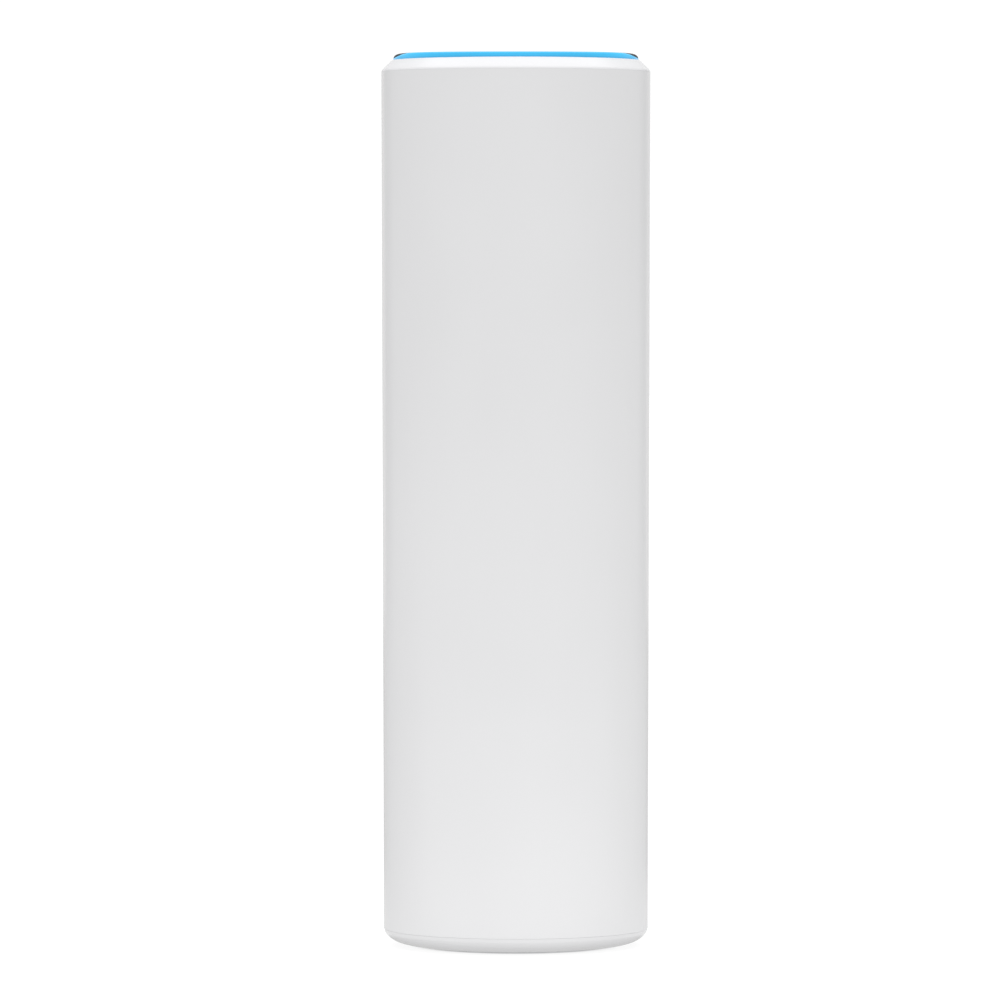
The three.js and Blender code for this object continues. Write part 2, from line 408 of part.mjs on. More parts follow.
// ---------------------------------------------------------------- antenna carrier, antennas, coaxial leads
const FACETS = [
  { name: "5g_1", a: 45, x: 9, y: 3.3 }, { name: "5g_2", a: 135, x: -9, y: 3.3 },
  { name: "5g_3", a: 225, x: -4.6, y: 2.4 }, { name: "5g_4", a: 315, x: 4.6, y: 2.4 },
  { name: "2g_1", a: 0, x: 13.5, y: 3.0 }, { name: "2g_2", a: 180, x: -13.5, y: 3.0 },
];
{
  const octagon = (apothem) => Array.from({ length: 8 }, (_, k) => polar(apothem / Math.cos(Math.PI / 8), 22.5 + 45 * k));
  let carrier = cut(raised(octagon(17.6), 112.3, 152.7), raised(octagon(16.2), 112, 153));
  carrier = carrier.add(turned([[8, 152.6], [20.1, 152.6], [20.1, 154.7], [8, 154.7]]));
  carrier = join(carrier, rodZ(1.2, 110.5, 112.6, 0, 16.9, 10), rodZ(1.2, 110.5, 112.6, 0, -16.9, 10));
  for (const a of [60, 240]) carrier = carrier.add(rodZ(1.05, 154.5, 156.3, ...polar(12, a), 10));
  carrier = cut(carrier, box(-5, 5, -19, 19, 118, 147));
  for (const f of FACETS) {
    const turn = (f.a * Math.PI) / 180;
    const slot = solid(new THREE.BoxGeometry(3, 3.2, 5).translate(16.9, 2.4, 117).rotateZ(turn));
    carrier = cut(carrier, slot).add(rodX(0.9, 17.2, 18.7, -2.6, f.name.startsWith("2g") ? 140 : 131, 10, turn));
  }
  piece("antenna_carrier", carrier, M.frame, radio);

  for (const f of FACETS) {
    const two = f.name.startsWith("2g");
    const facet = new THREE.Group();
    facet.name = `facet_${f.name}`;
    facet.rotation.z = (f.a * Math.PI) / 180;
    radio.add(facet);
    // Inverted-F plate: ground strip, shorting leg, feed leg and radiating arm.
    const w = two ? 6.2 : 5.6, h0 = 120.6, hTop = two ? 146 : 135.6, gap = two ? 130.5 : 126.2;
    const outline = [[-w, h0], [w, h0], [w, gap - 1.2], [3.4, gap - 1.2], [3.4, gap + 1.0], [w, gap + 1.0], [w, hTop], [-w, hTop],
      [-w, gap + 1.0], [1.2, gap + 1.0], [1.2, gap - 1.2], [-w, gap - 1.2]];
    const hole = rodX(1.15, 17, 19, -2.6, two ? 140 : 131, 10);
    const plate = cut(drawnX(outline, 17.7, 18.1), hole);
    const m = new THREE.Mesh(geometryOf(plate).translate(0, 0, -112), M.copper);
    m.geometry.computeVertexNormals();
    m.name = `antenna_${f.name}`;
    facet.add(m);
  }
  // Each lead: soldered on the feed leg, in through its slot, down the middle, to its snap-on plug on the board.
  for (const f of FACETS) {
    const c = Math.cos((f.a * Math.PI) / 180), s = Math.sin((f.a * Math.PI) / 180);
    const at = (r, u, z) => new THREE.Vector3(r * c - u * s, r * s + u * c, z);
    const curve = new THREE.CatmullRomCurve3([
      at(18.78, 2.3, 124.6), at(18.78, 2.35, 121.4), at(18.5, 2.4, 118.9), at(16.6, 2.4, 116.9), at(14.2, 2.3, 115.9),
      new THREE.Vector3(f.x + (at(14, 2, 0).x - f.x) * 0.35, f.y + (at(14, 2, 0).y - f.y) * 0.35, 114.6),
      new THREE.Vector3(f.x, f.y, 112.4), new THREE.Vector3(f.x, 4.7, 110.2), new THREE.Vector3(f.x, 5.75, 108.4), new THREE.Vector3(f.x, 5.8, 106.7),
    ]);
    const section = new THREE.Shape(Array.from({ length: 6 }, (_, k) => new THREE.Vector2(...polar(0.57, 60 * k))));
    const lead = solid(new THREE.ExtrudeGeometry(section, { steps: 14, extrudePath: curve, bevelEnabled: false }));
    piece(`coax_${f.name}`, lead.add(rodY(1.2, 5.15, 6.4, f.x, 106.5, 12)), M.cable, radio);
  }
}

export default root;
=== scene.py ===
"""Looks for the mesh wifi node: fine shells for every piece that shows, procedural materials for every piece, a pale
floor and soft studio light. All lengths in millimetres are turned into metres by MM."""
import math

import bmesh
import bpy
from mathutils import Matrix, Vector


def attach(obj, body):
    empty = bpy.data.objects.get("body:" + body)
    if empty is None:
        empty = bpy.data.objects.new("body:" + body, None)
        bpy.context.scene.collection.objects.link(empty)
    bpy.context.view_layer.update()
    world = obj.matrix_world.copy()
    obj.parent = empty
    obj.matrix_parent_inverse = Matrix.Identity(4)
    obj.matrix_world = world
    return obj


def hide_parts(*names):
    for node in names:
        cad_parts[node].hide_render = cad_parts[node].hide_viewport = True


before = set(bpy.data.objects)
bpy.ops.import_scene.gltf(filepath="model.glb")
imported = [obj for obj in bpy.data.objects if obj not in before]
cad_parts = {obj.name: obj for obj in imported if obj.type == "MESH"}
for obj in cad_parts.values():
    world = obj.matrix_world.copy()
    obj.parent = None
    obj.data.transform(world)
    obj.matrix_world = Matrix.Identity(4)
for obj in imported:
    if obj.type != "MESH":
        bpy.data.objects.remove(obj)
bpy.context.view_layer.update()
scene = bpy.context.scene
MM = 0.001
TURN = 288  # facets round the outer shells

# ------------------------------------------------------------------ driving numbers, as in the frame
R_TOP, DRAFT, WALL = 24.15, 0.00272, 1.8
Z_SLEEVE_TOP, Z_SLEEVE_BOTTOM, SEAM = 157.036, 3.15, 0.006
CAP_FLAT, CORNER_A, WELL_R = 0.3, 6.0, 12.4
FRONT_RIM, RIM_RISE, RIM_DIP, DIP_HALF = 160.065, 0.12, 0.74, 32.5
FOOT_IN, FOOT_OUT = 13.75, 17.05
Z_BULKHEAD = 22.0
TWIST_LUG, TWIST_RANGE = 24.0, 30.0
NOTCH_HALF, NOTCH_TOP = 3.8, 2.7


def sleeve_r(z):
    return R_TOP - DRAFT * (Z_SLEEVE_TOP - z)


# ------------------------------------------------------------------ camera
camera = bpy.data.objects.new("camera", bpy.data.cameras.new("camera"))
scene.collection.objects.link(camera)
scene.camera = camera
camera.data.sensor_width = 36.0
camera.data.lens = 267.63
camera.data.shift_x = -0.01585
camera.data.clip_start, camera.data.clip_end = 0.05, 60.0
camera.data.dof.use_dof = False
camera.location = (0.0, -1.3360, 0.11893)
camera.rotation_euler = (math.radians(90.0 - 1.661), 0.0, 0.0)


# ------------------------------------------------------------------ mesh helpers
def rounded(corners, steps=5):
    """A closed outline from corners (radius, height, fillet). Each fillet is an arc, with a support point each side, so
    that the long faces next to it stay flat when they are smooth shaded."""
    out = []
    n = len(corners)
    for i, (x, y, rad) in enumerate(corners):
        p = Vector((x, y))
        a = Vector(corners[i - 1][:2])
        b = Vector(corners[(i + 1) % n][:2])
        da, db = (a - p), (b - p)
        la, lb = da.length, db.length
        if rad <= 0 or la < 1e-9 or lb < 1e-9:
            out.append((x, y))
            continue
        da, db = da / la, db / lb
        angle = math.acos(max(-1.0, min(1.0, da.dot(db))))
        if angle > math.pi - 0.05:
            out.append((x, y))
            continue
        reach = rad / math.tan(angle / 2)
        limit = 0.46 * min(la, lb)
        if reach > limit:
            reach = limit
            rad = reach * math.tan(angle / 2)
        bis = (da + db).normalized()
        centre = p + bis * (rad / math.sin(angle / 2))
        start, end = p + da * reach, p + db * reach
        a0 = math.atan2(start.y - centre.y, start.x - centre.x)
        a1 = math.atan2(end.y - centre.y, end.x - centre.x)
        sweep = (a1 - a0 + math.pi) % (2 * math.pi) - math.pi
        extra = min(0.35 * rad, 0.08 * la)
        out.append(tuple(start + da * extra))
        for k in range(steps + 1):
            t = a0 + sweep * k / steps
            out.append((centre.x + rad * math.cos(t), centre.y + rad * math.sin(t)))
        extra = min(0.35 * rad, 0.08 * lb)
        out.append(tuple(end + db * extra))
    return out


def new_object(name, bm, sharp=38.0):
    bmesh.ops.recalc_face_normals(bm, faces=bm.faces)
    mesh = bpy.data.meshes.new(name)
    bm.to_mesh(mesh)
    bm.free()
    for p in mesh.polygons:
        p.use_smooth = True
    mesh.set_sharp_from_angle(angle=math.radians(sharp))
    obj = bpy.data.objects.new(name, mesh)
    scene.collection.objects.link(obj)
    return obj


def lathe(name, outline, turn=TURN, place=(0.0, 0.0), sharp=38.0):
    """A closed outline of (radius, height) turned about Z; a point with radius 0 is a pole."""
    bm = bmesh.new()
    rings = []
    for r, z in outline:
        if r < 1e-6:
            rings.append([bm.verts.new((place[0] * MM, place[1] * MM, z * MM))])
        else:
            rings.append(
                [
                    bm.verts.new(
                        (
                            (place[0] + r * math.cos(2 * math.pi * k / turn)) * MM,
                            (place[1] + r * math.sin(2 * math.pi * k / turn)) * MM,
                            z * MM,
                        )
                    )
                    for k in range(turn)
                ]
            )
    n = len(rings)
    for i in range(n):
        a, b = rings[i], rings[(i + 1) % n]
        if len(a) == 1 and len(b) == 1:
            continue
        for k in range(turn):
            m = (k + 1) % turn
            if len(a) == 1:
                bm.faces.new((a[0], b[m], b[k]))
            elif len(b) == 1:
                bm.faces.new((a[k], a[m], b[0]))
            else:
                bm.faces.new((a[k], a[m], b[m], b[k]))
    return new_object(name, bm, sharp)


def block(name, x0, x1, y0, y1, z0, z1, bevel=0.0, segments=3):
    bm = bmesh.new()
    made = bmesh.ops.create_cube(bm, size=1.0)
    bmesh.ops.transform(
        bm,
        verts=made["verts"],
        matrix=Matrix.Translation(((x0 + x1) / 2 * MM, (y0 + y1) / 2 * MM, (z0 + z1) / 2 * MM))
        @ Matrix.Diagonal(((x1 - x0) * MM, (y1 - y0) * MM, (z1 - z0) * MM, 1.0)),
    )
    if bevel:
        bmesh.ops.bevel(bm, geom=bm.edges[:], offset=bevel * MM, segments=segments, profile=0.5, affect="EDGES")
    return new_object(name, bm)


def sector(name, r0, r1, a0, a1, z0, z1, steps=12):
    """A block bounded by two radii and two angles, in degrees."""
    bm = bmesh.new()
    ring = []
    for i in range(steps + 1):
        t = math.radians(a0 + (a1 - a0) * i / steps)
        ring.append((r1 * math.cos(t), r1 * math.sin(t)))
    for i in range(steps, -1, -1):
        t = math.radians(a0 + (a1 - a0) * i / steps)
        ring.append((r0 * math.cos(t), r0 * math.sin(t)))
    low = [bm.verts.new((x * MM, y * MM, z0 * MM)) for x, y in ring]
    high = [bm.verts.new((x * MM, y * MM, z1 * MM)) for x, y in ring]
    n = len(ring)
    for i in range(n):
        j = (i + 1) % n
        bm.faces.new((low[i], low[j], high[j], high[i]))
    for i in range(steps):
        j = n - 1 - i
        bm.faces.new((low[i], low[j], low[j - 1], low[i + 1]))
        bm.faces.new((high[i], high[i + 1], high[j - 1], high[j]))
    return new_object(name, bm)


def combine(obj, other, how, keep=False):
    """Boolean of obj with other, applied."""
    mod = obj.modifiers.new("combine", "BOOLEAN")
    mod.operation, mod.solver, mod.object = how, "EXACT", other
    depsgraph = bpy.context.evaluated_depsgraph_get()
    made = bpy.data.meshes.new_from_object(obj.evaluated_get(depsgraph), depsgraph=depsgraph)
    obj.modifiers.clear()
    old = obj.data
    obj.data = made
    made.name = old.name
    bpy.data.meshes.remove(old)
    for p in made.polygons:
        p.use_smooth = True
    made.set_sharp_from_angle(angle=math.radians(38))
    if not keep:
        mesh = other.data
        bpy.data.objects.remove(other)
        bpy.data.meshes.remove(mesh)
    return obj


def cut(obj, other, keep=False):
    return combine(obj, other, "DIFFERENCE", keep)


def join(obj, other, keep=False):
    return combine(obj, other, "UNION", keep)


def polar(r, degrees):
    return r * math.cos(math.radians(degrees)), r * math.sin(math.radians(degrees))


# ------------------------------------------------------------------ material helpers
class Nodes:
    """A small builder for node materials. Coordinates are the object's own, in metres, the same as the frame's."""

    def __init__(self, name):
        self.mat = bpy.data.materials.new(name)
        self.mat.use_nodes = True
        self.tree = self.mat.node_tree
        self.tree.nodes.clear()
        self.out = self.add("ShaderNodeOutputMaterial")
        self.bsdf = self.add("ShaderNodeBsdfPrincipled")
        self.tree.links.new(self.bsdf.outputs[0], self.out.inputs["Surface"])
        self.coord = self.add("ShaderNodeTexCoord").outputs["Object"]

    def add(self, kind, **props):
        node = self.tree.nodes.new(kind)
        for key, value in props.items():
            setattr(node, key, value)
        return node

    def link(self, a, b):
        self.tree.links.new(a, b)

    def put(self, socket, value):
        if isinstance(value, (int, float)):
            socket.default_value = value
        elif isinstance(value, (tuple, list)):
            socket.default_value = value
        else:
            self.link(value, socket)

    def math(self, op, a, b=0.0, c=None, clamp=False):
        node = self.add("ShaderNodeMath", operation=op, use_clamp=clamp)
        self.put(node.inputs[0], a)
        self.put(node.inputs[1], b)
        if c is not None:
            self.put(node.inputs[2], c)
        return node.outputs[0]

    def split(self, vector=None):
        node = self.add("ShaderNodeSeparateXYZ")
        self.put(node.inputs[0], vector if vector is not None else self.coord)
        return node.outputs

    def stretch(self, x, y, z):
        node = self.add("ShaderNodeVectorMath", operation="MULTIPLY")
        self.put(node.inputs[0], self.coord)
        node.inputs[1].default_value = (x, y, z)
        return node.outputs[0]

    def noise(self, scale, detail=3.0, rough=0.5, vector=None):
        node = self.add("ShaderNodeTexNoise")
        self.put(node.inputs["Vector"], vector if vector is not None else self.coord)
        node.inputs["Scale"].default_value = scale
        node.inputs["Detail"].default_value = detail
        node.inputs["Roughness"].default_value = rough
        return node.outputs["Fac"]

    def cells(self, scale, feature="F1", vector=None):
        node = self.add("ShaderNodeTexVoronoi", feature=feature)
        self.put(node.inputs["Vector"], vector if vector is not None else self.coord)
        node.inputs["Scale"].default_value = scale
        return node.outputs["Distance"]

    def ramp(self, value, lo, hi, out_lo=0.0, out_hi=1.0, smooth=False):
        node = self.add("ShaderNodeMapRange", interpolation_type="SMOOTHSTEP" if smooth else "LINEAR")
        self.put(node.inputs["Value"], value)
        for key, v in (("From Min", lo), ("From Max", hi), ("To Min", out_lo), ("To Max", out_hi)):
            self.put(node.inputs[key], v)
        return node.outputs["Result"]

    def mix(self, factor, a, b):
        node = self.add("ShaderNodeMix", data_type="RGBA")
        self.put(node.inputs["Factor"], factor)
        for socket, value in ((node.inputs[6], a), (node.inputs[7], b)):
            if isinstance(value, (tuple, list)):
                socket.default_value = (*value[:3], 1.0)
            else:
                self.link(value, socket)
        return node.outputs[2]

    def bump(self, height, distance, strength=1.0, normal=None):
        node = self.add("ShaderNodeBump")
        node.inputs["Strength"].default_value = strength
        node.inputs["Distance"].default_value = distance
        self.link(height, node.inputs["Height"])
        if normal is not None:
            self.link(normal, node.inputs["Normal"])
        return node.outputs["Normal"]

    def set(self, **values):
        for key, value in values.items():
            name = {"color": "Base Color", "rough": "Roughness", "metal": "Metallic", "normal": "Normal",
                    "coat": "Coat Weight", "coat_rough": "Coat Roughness", "ior": "IOR", "spec": "Specular IOR Level",
                    "emit": "Emission Color", "emit_strength": "Emission Strength", "transmission": "Transmission Weight",
                    "sss": "Subsurface Weight", "sss_scale": "Subsurface Scale", "sheen": "Sheen Weight"}[key]
            socket = self.bsdf.inputs[name]
            if isinstance(value, (tuple, list)) and len(value) == 3 and socket.type == "RGBA":
                value = (*value, 1.0)
            self.put(socket, value)
        return self.mat


def srgb(*rgb):
    return tuple(c / 255 / 12.92 if c / 255 <= 0.04045 else ((c / 255 + 0.055) / 1.055) ** 2.4 for c in rgb)


def moulded(name, rgb, rough, grain=0.000004, grain_scale=5200.0, vary=0.012, coat=0.0, **more):
    """Injection-moulded plastic: a spark-eroded micro-grain, a slow flow-line tone and a little handling polish."""
    n = Nodes(name)
    base = srgb(*rgb)
    slow = n.noise(26.0, 2.0)
    flow = n.noise(60.0, 3.0, vector=n.stretch(1.0, 1.0, 0.18))
    tone = n.math("ADD", n.ramp(slow, 0.3, 0.7, -vary, vary), n.ramp(flow, 0.3, 0.7, -vary * 0.6, vary * 0.6))
    fine = n.noise(grain_scale, 2.0, 0.6)
    tone = n.math("ADD", tone, n.ramp(fine, 0.3, 0.7, -vary * 0.5, vary * 0.5))
    shade = n.add("ShaderNodeHueSaturation")
    shade.inputs["Color"].default_value = (*base, 1.0)
    n.link(n.math("ADD", tone, 1.0), shade.inputs["Value"])
    handled = n.ramp(n.noise(95.0, 4.0, 0.6), 0.35, 0.75, -0.03, 0.035)
    speck = n.ramp(n.noise(1500.0, 2.0), 0.3, 0.7, -0.015, 0.015)
    roughness = n.math("ADD", n.math("ADD", handled, speck), rough, clamp=True)
    peel = n.bump(n.noise(380.0, 1.0), 0.0000016)
    normal = n.bump(fine, grain, normal=peel)
    n.set(color=shade.outputs["Color"], rough=roughness, normal=normal, coat=coat, coat_rough=0.12, ior=1.5, **more)
    return n.mat


# ------------------------------------------------------------------ materials
SHELL = moulded("shell_white", (232, 232, 233), 0.17)
BEZEL = moulded("bezel_white", (238, 238, 240), 0.17, grain=0.000002)
DISC = moulded("disc_white", (221, 222, 225), 0.42, grain=0.000009, grain_scale=3600.0)
INNER_WHITE = moulded("bulkhead_white", (226, 227, 229), 0.4, grain=0.000008, grain_scale=3600.0)
BLACK = moulded("black_plastic", (24, 27, 30), 0.3, grain=0.000005, vary=0.06)
# Black of the light shield; on its two side ears the same black is painted shade, standing in for the darkening at the
# two ends of the lit ring.
SHIELD_AND_SHADE = moulded("shield_and_shade_black", (14, 34, 44), 0.5, grain=0.000003, vary=0.06, spec=0.15)
FRAME = moulded("frame_grey", (110, 115, 120), 0.55, grain=0.00001, grain_scale=2600.0, vary=0.04)
CABLE = moulded("cable_grey", (72, 75, 79), 0.5, grain=0.000006, vary=0.05)
CONNECTOR = moulded("connector_white", (232, 228, 214), 0.45, vary=0.02)
FERRITE = moulded("ferrite", (58, 60, 64), 0.62, grain=0.00002, grain_scale=2400.0, vary=0.09)
LED_BODY = moulded("led_body", (242, 240, 226), 0.3, vary=0.02)


def elastomer(name, rgb, rough):
    n = Nodes(name)
    base = srgb(*rgb)
    dust = n.ramp(n.noise(170.0, 5.0, 0.65), 0.52, 0.75)
    n.set(color=n.mix(n.math("MULTIPLY", dust, 0.35), base, tuple(min(1.0, c * 1.7 + 0.03) for c in base)),
          rough=n.ramp(n.noise(420.0, 3.0), 0.3, 0.7, rough - 0.07, rough + 0.07),
          normal=n.bump(n.cells(2600.0), 0.000012), spec=0.3)
    return n.mat


RUBBER = elastomer("foot_rubber", (221, 222, 223), 0.7)
SEAL = elastomer("seal_black", (30, 32, 34), 0.7)
PAD = elastomer("thermal_pad", (126, 156, 186), 0.88)


def metal(name, rgb, rough, stretch=(1.0, 1.0, 1.0), lines=2600.0, depth=0.000003, tarnish=0.12):
    """Metal with drawing or rolling lines along one axis, and a slow tarnish."""
    n = Nodes(name)
    base = srgb(*rgb)
    grain = n.noise(lines, 2.0, 0.6, vector=n.stretch(*stretch))
    spots = n.ramp(n.noise(240.0, 4.0, 0.6), 0.45, 0.8)
    dull = tuple(c * 0.72 for c in base)
    n.set(color=n.mix(n.math("MULTIPLY", spots, tarnish), base, dull), metal=1.0,
          rough=n.math("ADD", n.ramp(grain, 0.3, 0.7, rough - 0.06, rough + 0.06), n.math("MULTIPLY", spots, 0.08)),
          normal=n.bump(grain, depth))
    return n.mat


ALU = metal("aluminium", (200, 204, 207), 0.34, (1.0, 1.0, 0.03))
TIN = metal("tinned_steel", (205, 206, 203), 0.24, (0.04, 1.0, 1.0))
STEEL = metal("screw_steel", (172, 176, 180), 0.3, (1.0, 1.0, 1.0), 1800.0)
GOLD = metal("contact_gold", (222, 178, 92), 0.22, (1.0, 1.0, 0.05), 3000.0, 0.000001)
COPPER = metal("antenna_copper", (205, 145, 98), 0.3, (1.0, 1.0, 0.05), 2200.0)


def board(name, mask, trace_lift, weave):
    """Solder mask over glass weave, with a grid of buried tracks and small tinned pads."""
    n = Nodes(name)
    base = srgb(*mask)
    x, y, z = n.split()
    track_a = n.math("LESS_THAN", n.math("PINGPONG", n.math("ADD", x, n.math("MULTIPLY", n.noise(90.0, 0.0), 0.004)), 0.0011), 0.00022)
    track_b = n.math("LESS_THAN", n.math("PINGPONG", n.math("ADD", z, n.math("MULTIPLY", n.noise(70.0, 0.0), 0.006)), 0.0016), 0.00024)
    region = n.math("GREATER_THAN", n.noise(75.0, 0.0), 0.5)
    tracks = n.math("ADD", n.math("MULTIPLY", track_a, region), n.math("MULTIPLY", track_b, n.math("SUBTRACT", 1.0, region)), clamp=True)
    pads = n.math("LESS_THAN", n.cells(420.0), 0.16)
    lit = tuple(min(1.0, c * trace_lift + 0.01) for c in base)
    green = n.mix(tracks, base, lit)
    n.set(color=n.mix(pads, green, srgb(196, 198, 192)), metal=n.math("MULTIPLY", pads, 0.9),
          rough=n.ramp(n.noise(900.0, 2.0), 0.3, 0.7, 0.3, 0.42),
          normal=n.bump(n.math("ADD", n.math("MULTIPLY", tracks, 0.7), n.math("MULTIPLY", n.noise(weave, 1.0), 0.3)), 0.00002),
          coat=0.4, coat_rough=0.2)
    return n.mat


BOARD = board("board_green", (24, 84, 54), 1.9, 1600.0)
LED_BOARD = board("board_white", (226, 229, 228), 0.93, 1600.0)


def chip(name):
    n = Nodes(name)
    base = srgb(33, 35, 38)
    sand = n.noise(3800.0, 3.0, 0.7)
    x, y, z = n.split()
    n.set(color=n.mix(n.ramp(sand, 0.35, 0.65), base, tuple(c * 1.5 for c in base)),
          rough=n.ramp(n.noise(300.0, 3.0), 0.3, 0.7, 0.48, 0.62), normal=n.bump(sand, 0.00001))
    return n.mat


CHIP = chip("chip_black")


def glow():
    """Diffusing light guide: brightest along its middle height, a little dimmer at the foot of the band, with the six
    sources faintly readable round the ring."""
    n = Nodes("light_blue")
    x, y, z = n.split()
    around = n.math("ARCTAN2", y, x)
    spots = n.math("ADD", n.math("MULTIPLY", n.math("COSINE", n.math("MULTIPLY", n.math("SUBTRACT", around, math.pi / 6), 6.0)), 0.03), 1.0)
    foot = n.ramp(z, 0.15905, 0.15955, 0.80, 1.0, smooth=True)
    grain = n.ramp(n.noise(2400.0, 3.0, 0.6), 0.3, 0.7, 0.97, 1.03)
    power = n.math("MULTIPLY", n.math("MULTIPLY", spots, foot), grain)
    upper = n.ramp(z, 0.1592, 0.1600, 0.0, 1.0, smooth=True)
    colour = n.mix(upper, srgb(66, 184, 238), srgb(58, 200, 252))
    n.set(color=srgb(10, 78, 108), rough=0.2, emit=colour, emit_strength=n.math("MULTIPLY", power, 0.82), ior=1.49,
          normal=n.bump(n.noise(1400.0, 1.0), 0.000002))
    return n.mat


LIGHT = glow()


def dress(obj, material):
    obj.data.materials.clear()
    obj.data.materials.append(material)
    return obj


def stand_for(obj, material, node, body):
    dress(obj, material)
    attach(obj, body)
    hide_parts(node)
    return obj


# ------------------------------------------------------------------ sleeve
def make_sleeve():
    def inner(z):
        return sleeve_r(z) - WALL

    z0, z1 = Z_SLEEVE_BOTTOM, Z_SLEEVE_TOP
    outline = rounded([
        (inner(z0), z0, 0.25), (sleeve_r(z0), z0, 0.06), (sleeve_r(40), 40, 0), (sleeve_r(80), 80, 0), (sleeve_r(120), 120, 0),
        (sleeve_r(z1), z1, 0.05), (inner(z1), z1, 0.1), (inner(152.7), 152.7, 0.05), (22.7, 152.6, 0.1), (22.7, 151.3, 0.1),
        (inner(151.2), 151.2, 0.05), (inner(80), 80, 0), (inner(13.4), 13.4, 0.05), (22.35, 13.3, 0.1), (22.35, 11.7, 0.1),
        (inner(11.6), 11.6, 0.05),
    ])
    return lathe("sleeve_shell", outline)


stand_for(make_sleeve(), SHELL, "outer_sleeve", "housing")


# ------------------------------------------------------------------ top: bezel, lit ring, shield, disc
def make_bezel():
    # The shoulder is a nearly straight 45 degree slope, rounded into the parting line below and the lit ring above.
    shoulder = [(24.13, 157.10), (24.115, 157.18), (24.09, 157.26), (24.05, 157.34), (23.99, 157.43), (23.91, 157.53), (23.81, 157.63), (23.69, 157.75),
                (23.46, 157.98), (23.22, 158.21), (22.97, 158.45), (22.71, 158.695), (22.46, 158.935), (22.36, 159.03), (22.29, 159.085)]
    low = rounded([
        (20.9, 156.0, 0.1), (20.4, 156.0, 0.12), (20.4, 150.6, 0.15), (22.0, 150.6, 0.15), (22.0, 151.4, 0.1), (22.45, 151.75, 0.12),
        (22.45, 152.15, 0.12), (22.0, 152.5, 0.1), (22.0, 153.8, 0.1), (21.2, 153.8, 0.1), (21.2, 155.0, 0.1), (22.0, 155.0, 0.1),
        (22.0, 157.04, 0.1), (24.125, 157.04, 0.02), (24.13, 157.10, 0.0),
    ], 4)
    high = rounded([(22.29, 159.085, 0.0), (22.17, 159.145, 0.06), (22.09, 159.10, 0.03), (22.09, 158.14, 0.05), (20.9, 158.14, 0.1), (20.9, 156.0, 0.0)], 4)
    return lathe("bezel_shell", low[:-1] + shoulder[:-1] + high[:-1])


stand_for(make_bezel(), BEZEL, "top_bezel", "housing")

def rim_height(angle):
    """Height of the lit rim at an angle about Z: a gentle rise from front and back, and a dip centred on each side."""
    a = math.degrees(math.asin(min(1.0, abs(math.sin(angle)))))
    rise = RIM_RISE * (1 - math.cos(math.pi * min(90 - a, 62) / 62)) / 2
    dip = RIM_DIP * math.cos(math.pi / 2 * a / DIP_HALF) ** 2 if a < DIP_HALF else 0.0
    return FRONT_RIM + rise - dip


RIM_FULL, RIM_LOW = FRONT_RIM + RIM_RISE, 159.25
RING_OUTLINE = rounded([
    (20.7, 156.7, 0.12), (20.7, 158.19, 0.1), (22.03, 158.19, 0.08), (22.03, 159.50, 0.3), (21.98, RIM_FULL - 0.27, 0.3),
    (21.72, RIM_FULL, 0.2), (21.36, RIM_FULL, 0.05), (21.34, 159.84, 0.04), (20.6, 159.82, 0.06), (20.6, 158.94, 0.06), (19.5, 158.94, 0.1),
    (19.5, 156.7, 0.12),
], 5)


def along(points, r):
    """Height at a radius on a line of (radius, height) points whose radius falls."""
    for (r0, z0), (r1, z1) in zip(points, points[1:]):
        if r1 <= r <= r0:
            return z0 + (z1 - z0) * (r0 - r) / (r0 - r1) if r0 > r1 else z0
    return points[0][1] if r > points[0][0] else points[-1][1]


def sunk(z, angle):
    """A height on the full rim, lowered to follow the dips."""
    return RIM_LOW + (z - RIM_LOW) * (rim_height(angle) - RIM_LOW) / (RIM_FULL - RIM_LOW)


def make_ring():
    obj = lathe("light_guide", RING_OUTLINE, turn=360)
    for v in obj.data.vertices:
        x, y, z = (c / MM for c in v.co)
        if z > RIM_LOW and math.hypot(x, y) > 21.28:
            v.co.z = sunk(z, math.atan2(y, x)) * MM
    return obj


stand_for(make_ring(), LIGHT, "light_ring", "housing")


def make_shade_ear(side):
    """One of the two dark ears joined to the shield, sitting in the dips of the lit ring. They are painted shade: dark
    slivers that stand in for the darkening the lit ring shows at its two ends. A curved sliver that follows the dip
    below and the ring's own outline above."""
    bm = bmesh.new()
    rows = []
    steps, half = 75, 30.4
    crown = [(22.0, 159.32), (21.985, 159.42), (21.965, 159.53), (21.93, 159.64), (21.87, 159.765), (21.79, 159.875), (21.69, 159.97), (21.56, 160.06),
             (21.40, 160.14), (21.2, 160.205), (21.0, 160.235), (20.8, 160.24)]
    rim = [p for p in RING_OUTLINE if p[1] > 159.3 and p[0] > 21.35]
    under_at = [21.38 + 0.605 * k / 20 for k in range(21)]
    for i in range(steps + 1):
        a = -half + 2 * half * i / steps
        t = math.radians(a) + (0.0 if side > 0 else math.pi)
        fall = min(1.0, max(0.0, (abs(a) - 26.3) / (half - 26.3)))
        fall = 0.255 * fall * fall * (3 - 2 * fall)
        over = max(160.02 - 0.08 * fall / 0.255, min(sunk(RIM_FULL, t) - 0.03, 160.215 - fall))
        ring = [(20.72, 159.93), (20.85, 159.93), (20.97, min(160.02, over)), (21.18, over), (21.34, over)]
        ring += [(r, sunk(along(rim, r), t) - 0.03) for r in under_at]
        for r in reversed(under_at):
            ring.append((r, max(along(crown, r) - fall, sunk(along(rim, r), t) - 0.026)))
        ring += [(r, max(along(crown, r) - fall, over + 0.004)) for r in (21.30, 21.18)]
        ring += [(21.0, 160.235 - fall), (20.84, 160.24 - fall), (20.76, 160.225 - fall)]
        rows.append([bm.verts.new((r * math.cos(t) * MM, r * math.sin(t) * MM, z * MM)) for r, z in ring])
    n = len(rows[0])
    for a, b in zip(rows, rows[1:]):
        for k in range(n):
            bm.faces.new((a[k], a[(k + 1) % n], b[(k + 1) % n], b[k]))
    bm.faces.new(rows[0])
    bm.faces.new(list(reversed(rows[-1])))
    return new_object(f"ear_{side}", bm, 50)


